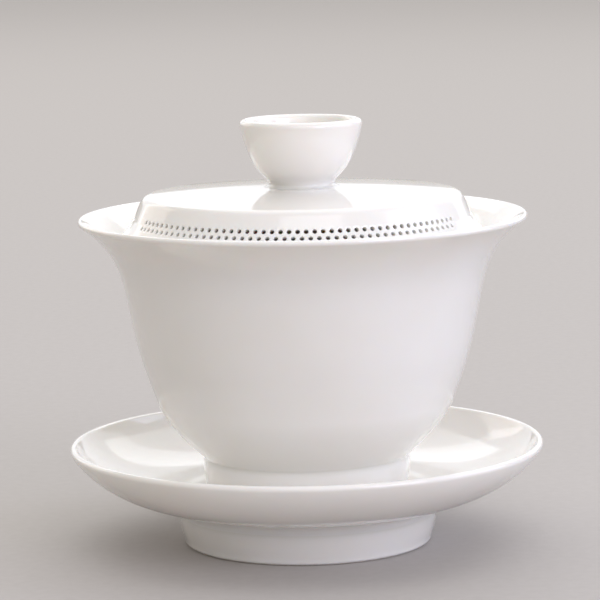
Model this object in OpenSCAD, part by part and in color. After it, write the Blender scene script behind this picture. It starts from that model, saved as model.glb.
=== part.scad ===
// A white porcelain gaiwan: a lidded tea bowl that stands on a footed saucer.
// Everything turns about the Z axis. The table is at z = 0 and the strainer faces -Y.

/* [Saucer] */
// Diameter over the saucer's lip
saucer_d = 104; // [100:1:112]
// Height of the dish from its joint with the foot ring to the lip
dish_h = 15.5; // [13:0.5:18]
// Thickness of the dish's floor
saucer_floor_t = 2.9; // [2.4:0.1:3.4]
// Radius of the saucer's rounded lip
saucer_lip_r = 0.8; // [0.6:0.05:0.9]
// Depth of the well that the bowl's foot stands in
well_depth = 0.5; // [0.3:0.1:1]
// Gap around the bowl's foot in the well
well_gap = 2.4; // [1.6:0.2:3]

/* [Saucer foot ring] */
// Outer diameter of the saucer's foot ring at its top
saucer_foot_d = 56.7; // [54:0.5:60]
// Height of the saucer's foot ring
saucer_foot_h = 6.8; // [5.5:0.1:8]
// Width of the saucer's foot ring at its top
saucer_foot_w = 4; // [3:0.1:5]
// How far the ring narrows towards the table, on the radius
saucer_foot_taper = 1.1; // [0.6:0.1:1.6]

/* [Bowl] */
// Diameter of the mouth over the lip
mouth_d = 98; // [94:1:104]
// Height of the bowl from its joint with the foot ring to the lip
bowl_h = 53.1; // [50:0.1:57]
// Diameter where the rounded belly turns into the tall wall
belly_d = 65.6; // [62:0.2:68]
// Diameter where the tall wall turns into the flare
waist_d = 78.8; // [74:0.2:82]
// Thickness of the bowl's floor
bowl_floor_t = 2.9; // [2.4:0.1:3.4]
// Thickness of the bowl's wall
bowl_wall_t = 2.1; // [1.8:0.1:2.4]
// Radius of the bowl's rounded lip
bowl_lip_r = 0.62; // [0.5:0.02:0.75]

/* [Bowl foot ring] */
// Outer diameter of the bowl's foot ring at its top
bowl_foot_d = 45.6; // [43:0.2:47]
// Height of the bowl's foot ring
bowl_foot_h = 7.8; // [6:0.2:9]
// Width of the bowl's foot ring at its top
bowl_foot_w = 3.4; // [2.8:0.1:4]

/* [Lid] */
// Where the lid's rim sits on the bowl's flare, from 0 at its start to 1 at the lip
seat_at = 0.31; // [0.28:0.01:0.36]
// Thickness of the lid's wall
lid_t = 2; // [1.8:0.1:2.2]
// Height of the lid's sloping skirt, from the rim to the crease under the strainer's upper row
skirt_h = 5.8; // [5.4:0.1:6.5]
// How far the skirt leans in
skirt_in = 3.8; // [3.2:0.1:4.2]
// Height of the steeper wall between the crease and the shoulder
lid_wall_h = 3.6; // [3:0.1:4.4]
// How far that wall leans in
lid_wall_in = 1.6; // [1.2:0.1:2]
// How far the low dome rises above the shoulder
dome_rise = 1.5; // [1.2:0.1:2.6]

/* [Strainer] */
// Diameter of a strainer hole
hole_d = 1; // [0.8:0.1:1.1]
// Holes in each of the two rows
holes = 46; // [20:1:56]
// Angle between one hole and the next
hole_step = 2.78; // [2.74:0.02:3.4]
// Distance from the crease up to the upper row
upper_row = 0.85; // [0.75:0.05:1.1]
// Distance from the crease down to the lower row
lower_row = 0.65; // [0.65:0.05:1]
// Thickness of the lid's wall at the strainer, where it is pared thin for piercing
strainer_t = 1.3; // [1.2:0.1:1.8]
// How far the lid is turned, so that the middle of the strainer stands off the front
strainer_turn = -3.75; // [-20:0.25:20]

/* [Knob] */
// Diameter over the knob's lip
knob_d = 26.8; // [24:0.2:29]
// Height of the knob
knob_h = 14.7; // [13.5:0.1:15.5]
// Diameter of the knob's neck
neck_d = 14.3; // [13.3:0.2:15.3]
// Radius of the knob's rounded lip
knob_lip_r = 1.1; // [0.8:0.05:1.2]
// Thickness of porcelain under the knob's hollow
knob_stem = 4.4; // [3.8:0.2:5]

/* [Hidden] */
$fn = 96;
glaze_white = [0.93, 0.92, 0.89];
foot_white = [0.88, 0.86, 0.82];
knob_white = [0.96, 0.95, 0.93];
rest_gap = 0.1;
seat_gap = 0.15;
foot_edge = 1;
inner_edge = 0.6;

// The bowl's foot stands in the saucer's well, a hair above its floor
well_z = saucer_foot_h + 1.6 + saucer_floor_t;
bowl_z = well_z + rest_gap;
body_z = bowl_z + bowl_foot_h;

// Straight mix of two values
function mix(a, b, t) = a + (b - a) * t;
function dir(a) = [cos(a), sin(a)];
function unit(v) = v / norm(v);
function back(list) = [for (i = [len(list) - 1:-1:0]) list[i]];
function bezier(p, a, h, q, b, k) = [p, p + h * dir(a), q - k * dir(b), q];
function at(c, t) =
    pow(1 - t, 3) * c[0] + 3 * pow(1 - t, 2) * t * c[1] + 3 * (1 - t) * t * t * c[2] + pow(t, 3) * c[3];
function along(c, t) =
    unit(pow(1 - t, 2) * (c[1] - c[0]) + 2 * (1 - t) * t * (c[2] - c[1]) + t * t * (c[3] - c[2]));
// The left side of a curve, which on an outside wall that rises is its inside
function left(c, t) = [-along(c, t)[1], along(c, t)[0]];
// Points along a curve, moved to its left by a distance that goes from d to e
function rail(c, n, d = 0, e = 0) =
    [for (i = [0:n]) at(c, i / n) + mix(d, e, i / n) * left(c, i / n)];
function arc(c, r, a, b, n) = [for (i = [0:n]) c + r * dir(mix(a, b, i / n))];

module turn(outline) {
    rotate_extrude() polygon(outline);
}

// A foot ring: tapered outside, rounded at the table, with a narrow flat to stand on
module foot_ring(d, h, w, taper) {
    r = d / 2;
    foot_r = r - taper;
    wall = bezier([r, h], -90, h * 0.45, [foot_r, foot_edge], -100, h * 0.2);
    hollow_r = r - w;
    turn(concat(
        rail(wall, 6),
        arc([foot_r - foot_edge, foot_edge], foot_edge, -10, -90, 4),
        arc([hollow_r + inner_edge, inner_edge], inner_edge, -90, -180, 3),
        [[hollow_r, h]]
    ));
}

module saucer_foot_ring() {
    color(foot_white) foot_ring(saucer_foot_d, saucer_foot_h, saucer_foot_w, saucer_foot_taper);
}

// The dish: a collar that meets the foot ring, a rounded underside and a shallow well
module saucer_dish() {
    foot_r = saucer_foot_d / 2;
    collar_r = 2.6;
    lean = 5;
    lip_lean = 64;
    lip = [saucer_d / 2, dish_h] - saucer_lip_r * [1, 1];
    outer_end = lip + saucer_lip_r * dir(lip_lean - 90);
    inner_end = lip + saucer_lip_r * dir(lip_lean + 90);
    collar = [foot_r + collar_r, 0.1];
    under = bezier(collar + collar_r * dir(90 + lean), lean, 13, outer_end, lip_lean, 3.3);
    well_r = bowl_foot_d / 2 + well_gap;
    well_floor = well_z - saucer_foot_h;
    well_slope = 4;
    well_top = [well_r + well_slope, well_floor + well_depth];
    inside = bezier(well_top, 4, 12, inner_end, lip_lean - 4, 5);
    recess_r = foot_r - saucer_foot_w;
    recess_z = well_floor - saucer_floor_t;
    color(glaze_white) translate([0, 0, saucer_foot_h]) turn(concat(
        [[0, recess_z]],
        arc([recess_r - recess_z, 0], recess_z, 90, 0, 4),
        [[foot_r, 0]],
        arc(collar, collar_r, 180, 90 + lean, 6),
        rail(under, 16),
        arc(lip, saucer_lip_r, lip_lean - 75, lip_lean + 75, 10),
        back(rail(inside, 14)),
        [[well_r, well_floor], [0, well_floor]]
    ));
}

module bowl_foot_ring() {
    color(foot_white) translate([0, 0, bowl_z]) foot_ring(bowl_foot_d, bowl_foot_h, bowl_foot_w, 0.7);
}

// The bowl's outside: a small fillet over the foot, rounded belly, tall wall and flare
fillet_r = 0.6;
fillet_lean = 42;
flare_lean = 42;
lip_c = [mouth_d / 2, bowl_h] - bowl_lip_r * [1, 1];
belly_end = [belly_d / 2, bowl_h * 0.245];
waist = [waist_d / 2, bowl_h * 0.72];
fillet_c = [bowl_foot_d / 2 + fillet_r, 0];
belly = bezier(fillet_c + fillet_r * dir(90 + fillet_lean), fillet_lean, 11.4, belly_end, 70, 1.2);
wall = bezier(belly_end, 70, 13.8, waist, 78, 14);
flare = bezier(waist, 78, 9.6, lip_c + bowl_lip_r * dir(flare_lean - 90), flare_lean, 1.2);

module bowl_body() {
    inner_belly = at(wall, 0) + bowl_wall_t * 1.1 * left(wall, 0);
    inside = bezier([0, bowl_floor_t], 0, 21, inner_belly, 70, 11);
    color(glaze_white) translate([0, 0, body_z]) turn(concat(
        [[0, 0]],
        arc(fillet_c, fillet_r, 180, 90 + fillet_lean, 4),
        rail(belly, 10),
        rail(wall, 10),
        rail(flare, 12),
        arc(lip_c, bowl_lip_r, flare_lean - 75, flare_lean + 75, 10),
        back(rail(flare, 12, bowl_wall_t, 2 * bowl_lip_r)),
        back(rail(wall, 10, bowl_wall_t * 1.1, bowl_wall_t)),
        back(rail(inside, 16))
    ));
}

// The lid's rounded rim lies on the inside of the flare
rim_r = lid_t / 2;
flare_t = mix(bowl_wall_t, 2 * bowl_lip_r, seat_at);
rim_c = at(flare, seat_at) + (flare_t + seat_gap + rim_r) * left(flare, seat_at);
lid_z = body_z + rim_c[1];
skirt_lean = atan2(skirt_h, -skirt_in);
wall_lean = atan2(lid_wall_h, -lid_wall_in);
crease = [rim_c[0] + rim_r, 0] + [-skirt_in, skirt_h];
shoulder = crease + [-lid_wall_in, lid_wall_h];
dome_edge = shoulder + [-2.6, 1.5];
pad_r = neck_d / 2 + 1.1;
dome_top = dome_edge[1] + dome_rise;
// The dome is a shallow arc through its edge and its top
dome_r = (pow(dome_edge[0], 2) + pow(dome_rise, 2)) / (2 * dome_rise);
dome_a = asin(dome_edge[0] / dome_r);
pad_a = asin(pad_r / dome_r);
pad_z = dome_top - dome_r * (1 - cos(pad_a));

module lid_shell() {
    start = rim_c[0] * [1, 0] + rim_r * dir(skirt_lean - 90);
    round_end = bezier(shoulder, wall_lean, 1.6, dome_edge, 180 - dome_a, 1.4);
    inner_crease = crease + [-strainer_t * 1.05, -0.3];
    inner_shoulder = shoulder + [-lid_t * 0.95, -1.6];
    inner_edge_p = dome_edge + [-1, -lid_t * 1.1];
    inner_round = bezier(inner_shoulder, wall_lean, 0.9, inner_edge_p, 175, 0.8);
    floor_z = pad_z - lid_t * 1.3;
    under = bezier(inner_edge_p, 175, 10, [0, floor_z], 180, 10);
    turn(concat(
        arc([rim_c[0], 0], rim_r, skirt_lean + 90 - 360, skirt_lean - 90, 8),
        [crease],
        rail(round_end, 6),
        arc([0, dome_top - dome_r], dome_r, 90 - dome_a, 90 - pad_a, 6),
        [[0, pad_z]],
        back(rail(under, 8)),
        back(rail(inner_round, 4)),
        [inner_crease]
    ));
}

// One row of strainer holes, square to the wall that they go through
module hole_row(p, lean, first) {
    for (i = [0:holes - 1])
        rotate([0, 0, -90 + first + (i - (holes - 1) / 2) * hole_step])
            translate([p[0], 0, p[1]])
                rotate([0, 180 - lean, 0])
                    cylinder(h = 4 * lid_t, d = hole_d, center = true, $fn = 16);
}

module lid_cover() {
    upper = crease + upper_row * dir(wall_lean);
    lower = crease - lower_row * dir(skirt_lean);
    color(glaze_white) translate([0, 0, lid_z]) difference() {
        lid_shell();
        hole_row(upper, wall_lean, strainer_turn + hole_step / 4);
        hole_row(lower, skirt_lean, strainer_turn - hole_step / 4);
    }
}

// A hollow cup on a short neck, stuck on the middle of the dome
module lid_knob() {
    neck = [neck_d / 2, 0.8];
    lip = [knob_d / 2, knob_h] - knob_lip_r * [1, 1];
    lean = 78;
    outer_end = lip + knob_lip_r * dir(lean - 90);
    inner_end = lip + knob_lip_r * dir(lean + 90);
    cup = bezier(neck, 84, 1.8, outer_end, lean, 11.4);
    hollow = bezier([0, knob_stem], 0, 7, inner_end, lean + 2, 7.5);
    color(knob_white) translate([0, 0, lid_z + pad_z]) turn(concat(
        [[0, 0]],
        rail(bezier([pad_r, 0], 155, 0.7, neck, 90, 0.4), 4),
        rail(cup, 14),
        arc(lip, knob_lip_r, lean - 75, lean + 75, 10),
        back(rail(hollow, 12))
    ));
}

saucer_foot_ring();
saucer_dish();
bowl_foot_ring();
bowl_body();
lid_cover();
lid_knob();
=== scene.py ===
# %% [markdown]
# # A white porcelain gaiwan
# A gaiwan is a lidded tea bowl that stands on a footed saucer. Its lid has a band of small
# strainer holes, so the tea can be poured without lifting the lid. Everything here is round,
# so the lesson is mostly about turning good outlines and about making a convincing glaze.
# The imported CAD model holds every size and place. It is loaded first and never changed: each
# piece below is turned anew with finer curves, in the same place, and stands for one CAD node.

# %% Load the CAD frame
import math

import bmesh
import bpy
from mathutils import Matrix, Vector


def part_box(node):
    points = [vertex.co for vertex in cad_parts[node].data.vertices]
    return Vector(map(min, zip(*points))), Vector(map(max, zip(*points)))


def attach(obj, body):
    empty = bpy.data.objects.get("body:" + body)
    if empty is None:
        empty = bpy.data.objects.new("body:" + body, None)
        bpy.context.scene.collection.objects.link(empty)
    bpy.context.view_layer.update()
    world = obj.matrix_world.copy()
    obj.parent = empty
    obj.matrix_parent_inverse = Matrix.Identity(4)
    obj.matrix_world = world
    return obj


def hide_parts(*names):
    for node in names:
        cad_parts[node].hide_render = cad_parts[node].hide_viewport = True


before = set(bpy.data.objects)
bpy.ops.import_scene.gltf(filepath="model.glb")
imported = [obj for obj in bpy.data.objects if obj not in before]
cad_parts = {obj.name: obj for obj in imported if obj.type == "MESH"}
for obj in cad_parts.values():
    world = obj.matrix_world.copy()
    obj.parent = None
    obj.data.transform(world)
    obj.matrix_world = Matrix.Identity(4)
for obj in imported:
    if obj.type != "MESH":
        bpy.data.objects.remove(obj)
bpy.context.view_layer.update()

MM = 0.001
print("nodes:", sorted(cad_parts))


# %% [markdown]
# ## The camera
# The set is seen from a little above the table with a long lens, so the ellipses of the rims
# are flat and the sides barely converge. The camera comes first, because every later look at
# the work goes through it. Its small roll is applied last, about its own line of sight.

# %% Place the camera
camera_place = Vector((0, -0.662, 0.147))
camera_pan, camera_tilt, camera_roll = (math.radians(a) for a in (0.075, -8.05, -1.1))

camera_data = bpy.data.cameras.new("camera")
camera_data.sensor_width = 36
camera_data.lens = 183.25
camera = bpy.data.objects.new("camera", camera_data)
camera.matrix_world = (
    Matrix.Translation(camera_place)
    @ Matrix.Rotation(camera_pan, 4, "Z")
    @ Matrix.Rotation(math.pi / 2 + camera_tilt, 4, "X")
    @ Matrix.Rotation(camera_roll, 4, "Z")
)
bpy.context.scene.collection.objects.link(camera)
bpy.context.scene.camera = camera
print("camera stands", round(camera_place.length, 3), "m from the middle of the saucer")


# %% [markdown]
# ## Drawing an outline
# A potter checks a profile with a template, and a lathe outline is just that: points of
# radius and height, in millimetres. Long sweeps are cubic curves given by two ends, the
# angle at each end and how far the curve keeps to that angle. Lips are arcs. `rail` walks
# along a curve and can step to its left, which gives the inside of a wall its thickness.

# %% Helpers that draw outlines
def direction(angle):
    return Vector((math.cos(math.radians(angle)), math.sin(math.radians(angle))))


def sweep(start, angle, reach, end, end_angle, end_reach):
    """A cubic curve from start to end, as its four handles."""
    return start, start + reach * direction(angle), end - end_reach * direction(end_angle), end


def at(curve, t):
    a, b, c, d = curve
    u = 1 - t
    return u**3 * a + 3 * u * u * t * b + 3 * u * t * t * c + t**3 * d


def left(curve, t):
    a, b, c, d = curve
    u = 1 - t
    heading = (u * u * (b - a) + 2 * u * t * (c - b) + t * t * (d - c)).normalized()
    return Vector((-heading.y, heading.x))


def rail(curve, steps, offset=0.0, end_offset=None):
    end_offset = offset if end_offset is None else end_offset
    points = []
    for i in range(steps + 1):
        t = i / steps
        points.append(at(curve, t) + (offset + (end_offset - offset) * t) * left(curve, t))
    return points


def arc(centre, radius, start, end, steps):
    return [centre + radius * direction(start + (end - start) * i / steps) for i in range(steps + 1)]


def back(points):
    return points[::-1]


def point(radius, height):
    return Vector((radius, height))


def box_mm(node):
    low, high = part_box(node)
    return low / MM, high / MM


# %% [markdown]
# ## Turning a piece
# The outline becomes a chain of edges, and Spin carries it round the Z axis. Points on the
# axis land on top of each other, so doubles are merged before the normals are made to point
# outwards. Fired glaze has no knife edges, so the round lips and edges are already arcs in the
# outline. What is still a corner after that is marked sharp, so that its shading does not
# smear over the wide faces beside it.

# %% Helpers that turn outlines into pieces
COLUMNS = 192
MERGE = 0.0005
SHARP = 25


def chain(shape, outline, closed=False):
    verts = [shape.verts.new((p.x, 0, p.y)) for p in outline]
    ends = verts[1:] + verts[:1] if closed else verts[1:]
    return verts + [shape.edges.new(pair) for pair in zip(verts, ends)]


def turned(outline, base, closed=False):
    """A full turn of an outline whose heights start at base, in millimetres."""
    shape = bmesh.new()
    bmesh.ops.spin(
        shape, geom=chain(shape, outline, closed), axis=(0, 0, 1), cent=(0, 0, 0),
        angle=2 * math.pi, steps=COLUMNS, use_merge=True,
    )
    bmesh.ops.remove_doubles(shape, verts=shape.verts, dist=MERGE)
    bmesh.ops.recalc_face_normals(shape, faces=shape.faces)
    bmesh.ops.translate(shape, verts=shape.verts, vec=(0, 0, base))
    return shape


def sharp_edges(shape):
    """The edges whose two faces meet at more than the sharp angle."""
    limit = math.radians(SHARP)
    return [e for e in shape.edges if len(e.link_faces) == 2 and e.calc_face_angle(0) > limit]


def fired(name, shape, node, body):
    """Makes the finished object: metres, smooth faces, riding on its body."""
    for edge in sharp_edges(shape):
        edge.smooth = False
    for face in shape.faces:
        face.smooth = True
    bmesh.ops.scale(shape, vec=(MM, MM, MM), verts=shape.verts)
    mesh = bpy.data.meshes.new(name)
    shape.to_mesh(mesh)
    shape.free()
    piece = bpy.data.objects.new(name, mesh)
    bpy.context.scene.collection.objects.link(piece)
    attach(piece, body)
    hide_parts(node)
    print(f"{name}: {len(mesh.polygons)} faces")
    return piece


# %% [markdown]
# ## The saucer's foot ring
# The ring lifts the saucer off the table. It narrows towards the table, and the glaze is
# wiped off where it would touch the kiln shelf, which leaves a fine step and a bare edge.
# Both foot rings have the same section, so one function draws it.

# %% Turn the saucer's foot ring
FOOT_EDGE = 1.0
INNER_EDGE = 0.6
GLAZE_STEP = 0.05
GLAZE_LINE = 0.3


def foot_outline(reach, height, width, taper):
    toe = reach - taper
    hollow = reach - width
    wall = sweep(point(reach, height), -90, height * 0.45, point(toe, FOOT_EDGE), -100, height * 0.2)
    bare = toe - GLAZE_STEP
    return (
        rail(wall, 16)
        + arc(point(toe - FOOT_EDGE, FOOT_EDGE), FOOT_EDGE, -8, -40, 5)
        + arc(point(bare - FOOT_EDGE, FOOT_EDGE), FOOT_EDGE, -44, -90, 6)
        + arc(point(hollow + INNER_EDGE, INNER_EDGE), INNER_EDGE, -90, -180, 8)
        + [point(hollow, height)]
    )


low, high = box_mm("saucer_foot_ring")
saucer_foot_r = high.x
saucer_foot_w = 4.0
shape = turned(foot_outline(saucer_foot_r, high.z - low.z, saucer_foot_w, 1.1), low.z, closed=True)
saucer_foot = fired("saucer_foot_glazed", shape, "saucer_foot_ring", "saucer")


# %% [markdown]
# ## The saucer's dish
# The underside leaves the foot in a hollow curve, runs out almost level and turns up to a
# round lip. On top is a shallow well that keeps the bowl's foot in the middle. The wall of
# the well is a gentle S, because glaze fills it.

# %% Turn the saucer's dish
low, high = box_mm("saucer_dish")
bowl_foot_low, bowl_foot_high = box_mm("bowl_foot_ring")
rest_gap = 0.1
lip_r = 0.8
lip_lean = 64
collar_r = 2.6
collar_lean = 5
dish_floor = bowl_foot_low.z - rest_gap - low.z
dish_floor_t = 2.9
well_depth = 0.5
well_r = bowl_foot_high.x + 2.4
well_slope = 4.0

lip = point(high.x - lip_r, high.z - low.z - lip_r)
collar = point(saucer_foot_r + collar_r, 0.1)
under = sweep(
    collar + collar_r * direction(90 + collar_lean), collar_lean, 13,
    lip + lip_r * direction(lip_lean - 90), lip_lean, 3.3,
)
well_top = point(well_r + well_slope, dish_floor + well_depth)
inside = sweep(well_top, 4, 12, lip + lip_r * direction(lip_lean + 90), lip_lean - 4, 5)
well_wall = sweep(point(well_r - 0.6, dish_floor), 0, 2, well_top, 4, 2)
recess_z = dish_floor - dish_floor_t
recess = point(saucer_foot_r - saucer_foot_w - recess_z, 0)

outline = (
    [point(0, recess_z)]
    + arc(recess, recess_z, 90, 0, 10)
    + [point(saucer_foot_r, 0)]
    + arc(collar, collar_r, 180, 90 + collar_lean, 14)
    + rail(under, 44)[1:]
    + arc(lip, lip_r, lip_lean - 80, lip_lean + 80, 16)
    + back(rail(inside, 40))
    + back(rail(well_wall, 8))[1:]
    + [point(well_r * k / 4, dish_floor) for k in (3, 2, 1, 0)]
)
shape = turned(outline, low.z)
saucer_dish = fired("saucer_dish_glazed", shape, "saucer_dish", "saucer")


# %% [markdown]
# ## The bowl
# The bowl is one flowing wall: a rounded belly, a tall side and a wide flare that keeps the
# fingers away from the hot tea. Three curves that share their angles at the joints give one
# smooth line. The inside follows it at the wall's thickness, which thins towards the lip.

# %% Turn the bowl's body
low, high = box_mm("bowl_body")
bowl_foot_r = bowl_foot_high.x
bowl_h = high.z - low.z
bowl_lip_r = 0.62
bowl_wall_t = 2.1
bowl_floor_t = 2.9
fillet_r = 0.6
fillet_lean = 42
flare_lean = 42
belly_end = point(32.8, bowl_h * 0.245)
waist = point(39.4, bowl_h * 0.72)

lip = point(high.x - bowl_lip_r, bowl_h - bowl_lip_r)
fillet = point(bowl_foot_r + fillet_r, 0)
belly_start = fillet + fillet_r * direction(90 + fillet_lean)
belly = sweep(belly_start, fillet_lean, 11.4, belly_end, 70, 1.2)
side = sweep(belly_end, 70, 13.8, waist, 78, 14)
flare = sweep(waist, 78, 9.6, lip + bowl_lip_r * direction(flare_lean - 90), flare_lean, 1.2)
inner_belly = belly_end + bowl_wall_t * 1.1 * left(side, 0)
bowl_floor = sweep(point(0, bowl_floor_t), 0, 21, inner_belly, 70, 11)

outline = (
    [point(0, 0)]
    + arc(fillet, fillet_r, 180, 90 + fillet_lean, 6)
    + rail(belly, 24)[1:]
    + rail(side, 28)[1:]
    + rail(flare, 28)[1:]
    + arc(lip, bowl_lip_r, flare_lean - 80, flare_lean + 80, 16)
    + back(rail(flare, 28, bowl_wall_t, 2 * bowl_lip_r))[1:]
    + back(rail(side, 28, bowl_wall_t * 1.1, bowl_wall_t))[1:]
    + back(rail(bowl_floor, 32))[1:]
)
shape = turned(outline, low.z)
bowl_body = fired("bowl_body_glazed", shape, "bowl_body", "bowl")

# %% Turn the bowl's foot ring
low, high = bowl_foot_low, bowl_foot_high
shape = turned(foot_outline(high.x, high.z - low.z, 3.4, 0.7), low.z, closed=True)
bowl_foot = fired("bowl_foot_glazed", shape, "bowl_foot_ring", "bowl")


# %% [markdown]
# ## The lid and its strainer
# The lid's rounded rim rests on the inside of the flare. Above it come a sloping skirt, a
# faint crease, a steeper wall and a low dome. Two staggered rows of small holes run along
# the crease on the pouring side.
# The holes are planned into the outline: each row has five points, and the front of the lid
# is spun with six columns to one hole's pitch. So every hole covers a block of four by four
# faces. The block is taken away outside and inside, its sixteen corners are moved onto a
# circle, and the two circles are bridged. The corners slide along the wall and never leave
# it, and an extra row of points runs above and below the holes. Together these keep streaks
# off the glossy wall. That gives true round holes, and no cut leaves slivers. The back of
# the lid has no holes, so it is spun with wider columns.

# %% Draw the lid's outline
low, high = box_mm("lid_cover")
knob_low, knob_high = box_mm("lid_knob")
rim_r = 1.0
rim = point(high.x - rim_r, rim_r)
skirt_rise, skirt_in = 5.8, 3.8
lid_wall_rise, lid_wall_in = 3.6, 1.6
strainer_t = 1.3
dome_rise = 1.5
hole_d = 0.96
hole_rim = 0.07
holes = 46
hole_step = 2.78
strainer_turn = -3.75
cell = 0.29

skirt_lean = math.degrees(math.atan2(skirt_rise, -skirt_in))
wall_lean = math.degrees(math.atan2(lid_wall_rise, -lid_wall_in))
crease = rim + point(rim_r - skirt_in, skirt_rise)
shoulder = crease + point(-lid_wall_in, lid_wall_rise)
dome_edge = shoulder + point(-2.6, 1.5)
dome_r = (dome_edge.x**2 + dome_rise**2) / (2 * dome_rise)
dome_centre = point(0, dome_edge.y + dome_rise - dome_r)
dome_lean = math.degrees(math.asin(dome_edge.x / dome_r))
pad_r = 8.25
pad_lean = math.degrees(math.asin(pad_r / dome_r))
pad_z = knob_low.z - low.z


class Row:
    """One row of holes: its middle on the outer wall, the way up the wall and the way out."""

    def __init__(self, middle, lean, first):
        self.middle, self.up, self.out = middle, direction(lean), direction(lean - 90)
        self.first = first

    def points(self, depth=0.0):
        return [self.middle + self.up * cell * k - self.out * depth for k in (-2, -1, 0, 1, 2)]

    def radius_at(self, height, like):
        """Radius at a height, on the straight wall that runs through a given corner."""
        return math.hypot(like.x, like.y) + (height - like.z) * self.up.x / self.up.y


first_hole = -90 + strainer_turn - hole_step * (holes - 1) / 2
upper = Row(crease + 0.85 * direction(wall_lean), wall_lean, first_hole + hole_step / 4)
lower = Row(crease - 0.65 * direction(skirt_lean), skirt_lean, first_hole - hole_step / 4)

round_end = sweep(shoulder, wall_lean, 1.6, dome_edge, 180 - dome_lean, 1.4)
inner_edge = dome_edge + point(-1, -2.2)
inner_round = sweep(shoulder + point(-1.9, -1.6), wall_lean, 0.9, inner_edge, 175, 0.8)
inner_dome = sweep(inner_edge, 175, 10, point(0, pad_z - 2.6), 180, 10)

lid_outline = (
    back(rail(inner_dome, 14))
    + back(rail(inner_round, 8))[1:]
    + back(upper.points(strainer_t))
    + back(lower.points(strainer_t))
    + arc(rim, rim_r, skirt_lean + 90 - 360, skirt_lean - 90, 16)
    + [rim + rim_r * direction(skirt_lean - 90) + direction(skirt_lean) * k for k in (1.5, 3)]
    + [lower.middle - lower.up * cell * 3.2]
    + lower.points()
    + [crease]
    + upper.points()
    + [upper.middle + upper.up * cell * 3.2]
    + rail(round_end, 14)
    + arc(dome_centre, dome_r, 90 - dome_lean, 90 - pad_lean, 14)[1:]
    + [point(0, pad_z)]
)
print("the lid's outline has", len(lid_outline), "points")

# %% Spin the lid in two sectors
column = hole_step / 6
front_start = lower.first - hole_step / 2
front_columns = round((upper.first - lower.first) / column) + 6 * holes
front_turn = front_columns * column
back_columns = 104

shape = bmesh.new()
geometry = chain(shape, lid_outline)
bmesh.ops.rotate(
    shape, verts=shape.verts, cent=(0, 0, 0),
    matrix=Matrix.Rotation(math.radians(front_start), 3, "Z"),
)
for turn, steps in ((front_turn, front_columns), (360 - front_turn, back_columns)):
    made = bmesh.ops.spin(
        shape, geom=geometry, axis=(0, 0, 1), cent=(0, 0, 0),
        angle=math.radians(turn), steps=steps,
    )
    geometry = made["geom_last"]
bmesh.ops.remove_doubles(shape, verts=shape.verts, dist=MERGE)
bmesh.ops.recalc_face_normals(shape, faces=shape.faces)
print("the lid's front has", front_columns, "columns of", round(column, 3), "degrees")


# %% Find the block of faces at each hole
def hole_at(face):
    """Names the hole that a face belongs to, and its side of the wall, or gives None."""
    centre = face.calc_center_median()
    turn = math.degrees(math.atan2(centre.y, centre.x))
    place = point(math.hypot(centre.x, centre.y), centre.z)
    for row in (upper, lower):
        number = round((turn - row.first) / hole_step)
        offset = place - row.middle
        depth = offset.dot(row.out)
        inner = abs(depth + strainer_t) < cell
        if (
            0 <= number < holes
            and abs(turn - row.first - number * hole_step) < 2 * column
            and abs(offset.dot(row.up)) < 2 * cell
            and (inner or abs(depth) < cell)
        ):
            return row, number, inner
    return None


blocks = {}
for face in shape.faces:
    hole = hole_at(face)
    if hole:
        blocks.setdefault(hole, []).append(face)
print(len(blocks), "blocks of", {len(faces) for faces in blocks.values()}, "faces")


# %% Open the holes and bridge them through the wall
def rim_loop(faces):
    inside = set(faces)
    return [e for f in faces for e in f.edges if len(inside.intersection(e.link_faces)) == 1]


def round_loop(edges, row, number):
    """Moves a loop's corners onto a circle about the hole's axis, without leaving the wall."""
    spin = Matrix.Rotation(math.radians(row.first + number * hole_step), 3, "Z")
    centre = spin @ Vector((row.middle.x, 0, row.middle.y))
    axis = spin @ Vector((row.out.x, 0, row.out.y))
    for vert in {v for e in edges for v in e.verts}:
        offset = vert.co - centre
        depth = offset.dot(axis)
        place = centre + axis * depth + (offset - axis * depth).normalized() * hole_d / 2
        wall_r = row.radius_at(place.z, vert.co)
        vert.co = Vector((place.x, place.y, 0)).normalized() * wall_r + Vector((0, 0, place.z))


loops = {hole: rim_loop(faces) for hole, faces in blocks.items()}
for (row, number, inner), edges in loops.items():
    round_loop(edges, row, number)
bmesh.ops.delete(shape, geom=[f for faces in blocks.values() for f in faces], context="FACES")
for (row, number, inner), edges in loops.items():
    if not inner:
        bmesh.ops.bridge_loops(shape, edges=edges + loops[row, number, True])
bmesh.ops.bevel(
    shape, geom=[e for edges in loops.values() for e in edges], offset=hole_rim,
    offset_type="OFFSET", segments=2, profile=0.5, affect="EDGES", clamp_overlap=True, material=-1,
)
bmesh.ops.recalc_face_normals(shape, faces=shape.faces)
bmesh.ops.translate(shape, verts=shape.verts, vec=(0, 0, low.z))
print("open edges left:", sum(1 for e in shape.edges if len(e.link_faces) != 2))
lid_cover = fired("lid_cover_glazed", shape, "lid_cover", "lid")


# %% [markdown]
# ## The knob
# The knob is a small hollow cup stuck on the middle of the dome. It is turned like the rest,
# and its base spreads a little where slip and glaze fill the corner.

# %% Turn the knob
low, high = knob_low, knob_high
knob_h = high.z - low.z
knob_lip_r = 1.1
knob_lean = 78
lip = point(high.x - knob_lip_r, knob_h - knob_lip_r)
neck = point(7.15, 0.8)
spread = sweep(point(pad_r, 0), 155, 0.7, neck, 90, 0.4)
cup = sweep(neck, 84, 1.8, lip + knob_lip_r * direction(knob_lean - 90), knob_lean, 11.4)
cup_hollow = sweep(point(0, 4.4), 0, 7, lip + knob_lip_r * direction(knob_lean + 90), knob_lean + 2, 7.5)

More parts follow.
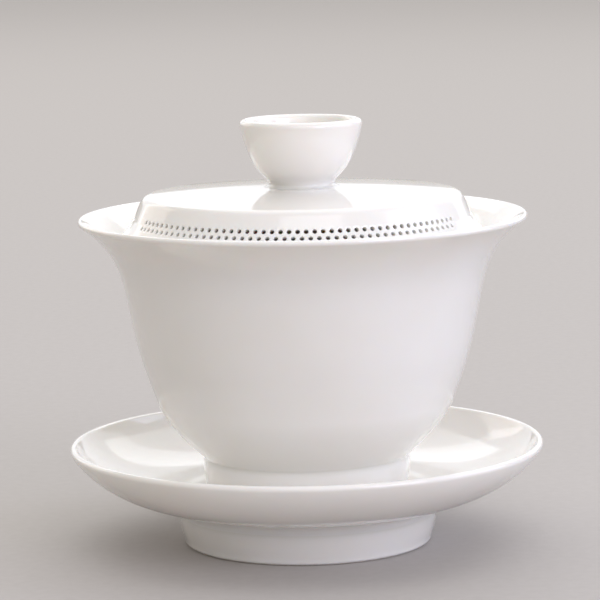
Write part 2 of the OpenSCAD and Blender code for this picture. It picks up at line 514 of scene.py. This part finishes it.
outline = (
    [point(0, 0)]
    + rail(spread, 8)
    + rail(cup, 36)[1:]
    + arc(lip, knob_lip_r, knob_lean - 80, knob_lean + 80, 16)
    + back(rail(cup_hollow, 28))
)
shape = turned(outline, low.z)
knob = fired("lid_knob_glazed", shape, "lid_knob", "lid")


# %% [markdown]
# ## The glaze
# White porcelain is never one flat white. The clay is a little warm, the glaze over it is
# clear and very glossy, it gathers in corners and thins over lips, and a few specks of iron
# burn through. The darker corners are painted shade and pooled glaze in one colour. Two node
# groups hold what all pieces share: `glaze_tone` mixes the colours, and `glaze_ripple` makes
# the slow waves and the fine orange peel of a poured glaze. Both read object coordinates, so
# the pattern sits still on the piece when the lid lifts.

# %% Helpers that build node trees
def new_group(name, inputs, outputs):
    group = bpy.data.node_groups.new(name, "ShaderNodeTree")
    for label, kind, default in inputs:
        socket = group.interface.new_socket(label, in_out="INPUT", socket_type=kind)
        if default is not None:
            socket.default_value = default
    for label, kind in outputs:
        group.interface.new_socket(label, in_out="OUTPUT", socket_type=kind)
    return group, group.nodes.new("NodeGroupInput"), group.nodes.new("NodeGroupOutput")


def add(tree, kind, links=(), **settings):
    """Adds a node, sets its values and links its inputs."""
    node = tree.nodes.new(kind)
    for name, value in settings.items():
        setattr(node, name, value)
    for socket, source in dict(links).items():
        if hasattr(source, "is_output"):
            tree.links.new(source, node.inputs[socket])
        else:
            node.inputs[socket].default_value = source
    return node


def noise(tree, place, scale, detail=2.0):
    node = add(tree, "ShaderNodeTexNoise", {"Vector": place, "Scale": scale, "Detail": detail})
    return node.outputs["Fac"]


def math_node(tree, operation, first, second=0.0, clamp=False):
    node = add(tree, "ShaderNodeMath", {0: first, 1: second}, operation=operation, use_clamp=clamp)
    return node.outputs[0]


def ramp(tree, value, low, high, out_low=0.0, out_high=1.0):
    """Smoothly maps a value from low to high onto another range."""
    node = add(
        tree, "ShaderNodeMapRange",
        {"Value": value, "From Min": low, "From Max": high, "To Min": out_low, "To Max": out_high},
        interpolation_type="SMOOTHSTEP",
    )
    return node.outputs["Result"]


def blend_colour(tree, amount, first, second):
    """Mixes two colours. The Mix node keeps its colour sockets at places 6 and 7."""
    node = tree.nodes.new("ShaderNodeMix")
    node.data_type = "RGBA"
    for socket, source in ((node.inputs[0], amount), (node.inputs[6], first), (node.inputs[7], second)):
        if hasattr(source, "is_output"):
            tree.links.new(source, socket)
        else:
            socket.default_value = source
    return node.outputs[2]


# %% [markdown]
# ### The tone of the glaze
# Three things change the colour over a piece. Broad, faint clouds come from the glaze's
# thickness. A band of deeper colour is laid where two walls meet: painted shade, where shade
# falls in the joint, together with pooled glaze. A mask made from two heights fades it in
# between them. Tiny iron specks are the nearest cells of a Voronoi pattern, and only the few
# cells with a high random value are kept.

# %% Group: glaze_tone
CLAY_WHITE = (0.845, 0.83, 0.8, 1)
WARM_WHITE = (0.8, 0.77, 0.715, 1)
# The pool tint is painted shade for the joints between walls, mixed with the colour of pooled glaze.
POOL_AND_SHADE_TINT = (0.74, 0.72, 0.61, 1)
IRON = (0.16, 0.085, 0.045, 1)

glaze_tone, group_in, group_out = new_group(
    "glaze_tone",
    [
        ("Vector", "NodeSocketVector", None), ("White", "NodeSocketColor", CLAY_WHITE),
        ("Warm", "NodeSocketColor", WARM_WHITE), ("Clouds", "NodeSocketFloat", 0.35),
        ("Pool", "NodeSocketFloat", 0.0), ("Specks", "NodeSocketFloat", 1.0),
    ],
    [("Color", "NodeSocketColor")],
)
place = group_in.outputs["Vector"]
clouds = ramp(glaze_tone, noise(glaze_tone, place, 38, 3), 0.35, 0.75)
clouds = math_node(glaze_tone, "MULTIPLY", clouds, group_in.outputs["Clouds"])
tone = blend_colour(glaze_tone, clouds, group_in.outputs["White"], group_in.outputs["Warm"])
# Painted shade: darkens the colour towards the pool tint in the joints, together with pooled glaze.
tone = blend_colour(glaze_tone, group_in.outputs["Pool"], tone, POOL_AND_SHADE_TINT)
cells = add(glaze_tone, "ShaderNodeTexVoronoi", {"Vector": place, "Scale": 150})
chosen = add(glaze_tone, "ShaderNodeSeparateColor", {"Color": cells.outputs["Color"]})
rare = math_node(glaze_tone, "GREATER_THAN", chosen.outputs["Red"], 0.988)
speck = ramp(glaze_tone, cells.outputs["Distance"], 0.035, 0.06, 1.0, 0.0)
speck = math_node(glaze_tone, "MULTIPLY", speck, rare)
speck = math_node(glaze_tone, "MULTIPLY", speck, group_in.outputs["Specks"])
tone = blend_colour(glaze_tone, speck, tone, IRON)
glaze_tone.links.new(tone, group_out.inputs["Color"])
print("glaze_tone has", len(glaze_tone.nodes), "nodes")


# %% [markdown]
# ### The surface of the glaze
# A glaze that has melted is not a mirror. Slow waves bend the reflections of windows a
# little, fine orange peel breaks their edges, and faint rings are left by the tool that
# turned the clay. The rings are a sine wave over the height, so each one runs level round
# the piece.

# %% Group: glaze_ripple
glaze_ripple, group_in, group_out = new_group(
    "glaze_ripple",
    [
        ("Vector", "NodeSocketVector", None), ("Waves", "NodeSocketFloat", 1.0),
        ("Peel", "NodeSocketFloat", 1.0), ("Rings", "NodeSocketFloat", 1.0),
    ],
    [("Height", "NodeSocketFloat")],
)
place = group_in.outputs["Vector"]
waves = math_node(glaze_ripple, "MULTIPLY", noise(glaze_ripple, place, 55, 1), group_in.outputs["Waves"])
peel = math_node(glaze_ripple, "MULTIPLY", noise(glaze_ripple, place, 900, 1), group_in.outputs["Peel"])
peel = math_node(glaze_ripple, "MULTIPLY", peel, 0.012)
apart = add(glaze_ripple, "ShaderNodeSeparateXYZ", {"Vector": place})
rise = math_node(glaze_ripple, "MULTIPLY", apart.outputs["Z"], 1500)
rings = math_node(glaze_ripple, "SINE", rise)
uneven = noise(glaze_ripple, place, 24, 1)
rings = math_node(glaze_ripple, "MULTIPLY", rings, uneven)
rings = math_node(glaze_ripple, "MULTIPLY", rings, group_in.outputs["Rings"])
rings = math_node(glaze_ripple, "MULTIPLY", rings, 0.012)
height = math_node(glaze_ripple, "ADD", math_node(glaze_ripple, "ADD", waves, peel), rings)
glaze_ripple.links.new(height, group_out.inputs["Height"])
print("glaze_ripple has", len(glaze_ripple.nodes), "nodes")


# %% [markdown]
# ### Heights as masks
# A foot is bare near the table, and painted shade with pooled glaze sits at a joint. Both are
# bands of height, so one small group gives a value that is 1 inside a band and fades out over
# a soft edge.

# %% Group: height_band
height_band, group_in, group_out = new_group(
    "height_band",
    [
        ("Vector", "NodeSocketVector", None), ("Low", "NodeSocketFloat", 0.0),
        ("High", "NodeSocketFloat", 0.01), ("Soft", "NodeSocketFloat", 0.001),
    ],
    [("Mask", "NodeSocketFloat")],
)
apart = add(height_band, "ShaderNodeSeparateXYZ", {"Vector": group_in.outputs["Vector"]})
wobble = math_node(height_band, "SUBTRACT", noise(height_band, group_in.outputs["Vector"], 160, 2), 0.5)
wobble = math_node(height_band, "MULTIPLY", wobble, group_in.outputs["Soft"])
level = math_node(height_band, "ADD", apart.outputs["Z"], wobble)
above = math_node(height_band, "SUBTRACT", level, group_in.outputs["Low"])
above = math_node(height_band, "DIVIDE", above, group_in.outputs["Soft"], clamp=True)
below = math_node(height_band, "SUBTRACT", group_in.outputs["High"], level)
below = math_node(height_band, "DIVIDE", below, group_in.outputs["Soft"], clamp=True)
band = math_node(height_band, "MULTIPLY", above, below)
height_band.links.new(band, group_out.inputs["Mask"])
print("height_band has", len(height_band.nodes), "nodes")


# %% [markdown]
# ## One porcelain, six finishes
# The material itself holds the shader. A Principled BSDF with a little scattering under the
# surface gives the soft, deep white, and a thin coat adds the wet shine. Each piece gets its
# own copy, with its own bands of painted shade and pooled glaze and its own bare band, from
# one function.

# %% Helper that makes a porcelain
BISCUIT = (0.72, 0.66, 0.58, 1)


def use_group(tree, group, **values):
    node = tree.nodes.new("ShaderNodeGroup")
    node.node_tree = group
    for name, source in values.items():
        if hasattr(source, "is_output"):
            tree.links.new(source, node.inputs[name])
        else:
            node.inputs[name].default_value = source
    return node.outputs[0]


def porcelain(name, white=CLAY_WHITE, pools_and_shade=(), bare=None, clouds=0.35, specks=1.0, roughness=0.13):
    """Glazed porcelain. The bands of painted shade and pooled glaze, and the bare band, are (low, high,
    soft) heights in millimetres.
    """
    material = bpy.data.materials.new(name)
    material.use_nodes = True
    tree = material.node_tree
    shader = tree.nodes["Principled BSDF"]
    place = tree.nodes.new("ShaderNodeTexCoord").outputs["Object"]

    def band(limits):
        low, high, soft = (value * MM for value in limits)
        return use_group(tree, height_band, Vector=place, Low=low, High=high, Soft=soft)

    # Painted shade: the pool bands darken the colour in the joints, where shade falls, together with
    # pooled glaze.
    pool_and_shade = 0.0
    for limits in pools_and_shade:
        pool_and_shade = math_node(tree, "MAXIMUM", pool_and_shade, band(limits))
    if pools_and_shade:
        pool_and_shade = math_node(tree, "MULTIPLY", pool_and_shade, 0.3)
    tone = use_group(
        tree, glaze_tone, Vector=place, White=white, Clouds=clouds, Pool=pool_and_shade, Specks=specks,
    )
    smooth = ramp(tree, noise(tree, place, 90, 2), 0.3, 0.8, roughness * 0.85, roughness * 1.25)
    coat = 0.7
    if bare:
        bare_mask = band(bare)
        grit = noise(tree, place, 2600, 2)
        sandy = blend_colour(tree, grit, BISCUIT, (0.8, 0.76, 0.7, 1))
        tone = blend_colour(tree, bare_mask, tone, sandy)
        smooth = math_node(tree, "MAXIMUM", smooth, math_node(tree, "MULTIPLY", bare_mask, 0.75))
        coat = ramp(tree, bare_mask, 0, 1, 0.7, 0.0)
    ripple = use_group(tree, glaze_ripple, Vector=place)
    bump = add(tree, "ShaderNodeBump", {"Height": ripple, "Strength": 0.35, "Distance": 0.0004})

    tree.links.new(tone, shader.inputs["Base Color"])
    tree.links.new(smooth, shader.inputs["Roughness"])
    tree.links.new(bump.outputs["Normal"], shader.inputs["Normal"])
    if bare:
        tree.links.new(coat, shader.inputs["Coat Weight"])
    else:
        shader.inputs["Coat Weight"].default_value = coat
    shader.inputs["Coat Roughness"].default_value = 0.03
    shader.inputs["Coat IOR"].default_value = 1.5
    shader.inputs["IOR"].default_value = 1.5
    shader.inputs["Subsurface Weight"].default_value = 0.25
    shader.inputs["Subsurface Radius"].default_value = (1.0, 0.75, 0.55)
    shader.inputs["Subsurface Scale"].default_value = 0.0022
    return material


def dress(piece, material):
    piece.data.materials.clear()
    piece.data.materials.append(material)
    print(piece.name, "wears", material.name)


# %% [markdown]
# The two foot rings are bare at the bottom. Painted shade with pooled glaze darkens the top of
# each foot ring under the piece above it, the saucer's well where the bowl stands, the bowl's
# crease over its foot, and the knob's base. The lid is bare under its rim, where it would rest
# on the kiln shelf.

# %% Dress the pieces
foot_top = box_mm("saucer_foot_ring")[1].z
well_z = bowl_foot_low.z
bowl_base = bowl_foot_high.z

# The pool bands below are painted shade at the joints, mixed with pooled glaze.
dress(saucer_foot, porcelain(
    "saucer_foot_porcelain", pools_and_shade=[(foot_top - 0.8, foot_top + 1, 0.7)], bare=(-1, GLAZE_LINE, 0.12),
))
dress(saucer_dish, porcelain("saucer_porcelain", pools_and_shade=[(well_z - 0.6, well_z + 0.5, 0.5)]))
dress(bowl_foot, porcelain(
    "bowl_foot_porcelain", pools_and_shade=[(bowl_base - 0.8, bowl_base + 1, 0.7)],
    bare=(well_z - 1, well_z + GLAZE_LINE, 0.12),
))
dress(bowl_body, porcelain("bowl_porcelain", pools_and_shade=[(bowl_base - 1, bowl_base + 0.9, 0.7)]))
lid_low = box_mm("lid_cover")[0]
dress(lid_cover, porcelain("lid_porcelain", bare=(lid_low.z - 1, lid_low.z + 0.35, 0.15)))
dress(knob, porcelain("knob_porcelain", pools_and_shade=[(knob_low.z - 1, knob_low.z + 1.6, 1.2)], specks=0.6))


# %% [markdown]
# ## The set
# The floor is one plain pale sheet. It is large enough to fill the picture behind the set. A
# little noise keeps it from looking like empty space.

# %% Lay the floor
FLOOR_R = 8
floor_shape = bmesh.new()
bmesh.ops.create_circle(floor_shape, cap_ends=True, segments=96, radius=FLOOR_R)
floor_mesh = bpy.data.meshes.new("floor")
floor_shape.to_mesh(floor_mesh)
floor_shape.free()
floor = bpy.data.objects.new("floor", floor_mesh)
bpy.context.scene.collection.objects.link(floor)

board = bpy.data.materials.new("pale_board")
board.use_nodes = True
tree = board.node_tree
place = tree.nodes.new("ShaderNodeTexCoord").outputs["Object"]
grain = noise(tree, place, 420, 3)
tree.links.new(
    blend_colour(tree, grain, (0.45, 0.425, 0.405, 1), (0.5, 0.475, 0.455, 1)),
    tree.nodes["Principled BSDF"].inputs["Base Color"],
)
tree.nodes["Principled BSDF"].inputs["Roughness"].default_value = 0.85
floor.data.materials.append(board)
print("the floor is", 2 * FLOOR_R, "m across")


# %% [markdown]
# ## The light
# Porcelain is shown by what it mirrors. A wide window far behind the set is what the flat
# tops mirror, and a large panel hangs overhead. Two cool windows on the right make that side
# bright, a low panel in front opens the shade, and a warm one stands at the back left. The
# left front has no lamp of its own, so the form reads from bright to shaded. The world adds
# an even, slightly warm fill. The camera does not see the lamps themselves.

# %% Hang the lights
def window(name, place, size, power, colour, target=(0, 0, 0.05)):
    data = bpy.data.lights.new(name, "AREA")
    data.shape = "RECTANGLE"
    data.size, data.size_y = size
    data.energy = power
    data.color = colour
    lamp = bpy.data.objects.new(name, data)
    lamp.location = place
    lamp.rotation_mode = "QUATERNION"
    lamp.rotation_quaternion = (Vector(target) - Vector(place)).to_track_quat("-Z", "Y")
    lamp.visible_camera = False
    bpy.context.scene.collection.objects.link(lamp)


window("window_back", (0.2, 3.4, 1.5), (6.0, 2.4), 31, (0.88, 0.92, 1.0))
window("panel_top", (0.1, 0.7, 1.7), (2.2, 3.2), 19, (0.95, 0.97, 1.0))
window("window_right", (1.6, 0.0, 0.7), (1.2, 1.2), 8, (0.66, 0.74, 1.0))
window("window_front_right", (1.2, -1.3, 0.6), (1.0, 1.0), 12.5, (0.8, 0.8, 1.0))
window("panel_front", (0.2, -1.7, 1.2), (1.4, 1.0), 5.8, (0.99, 0.98, 1.0))
window("window_back_left", (-1.8, 1.6, 0.9), (1.5, 1.2), 5.2, (1.0, 0.89, 0.84))

world = bpy.data.worlds.new("studio")
world.use_nodes = True
world.node_tree.nodes["Background"].inputs["Color"].default_value = (1.0, 0.955, 0.905, 1)
world.node_tree.nodes["Background"].inputs["Strength"].default_value = 0.6
bpy.context.scene.world = world
bpy.context.scene.view_settings.view_transform = "Standard"
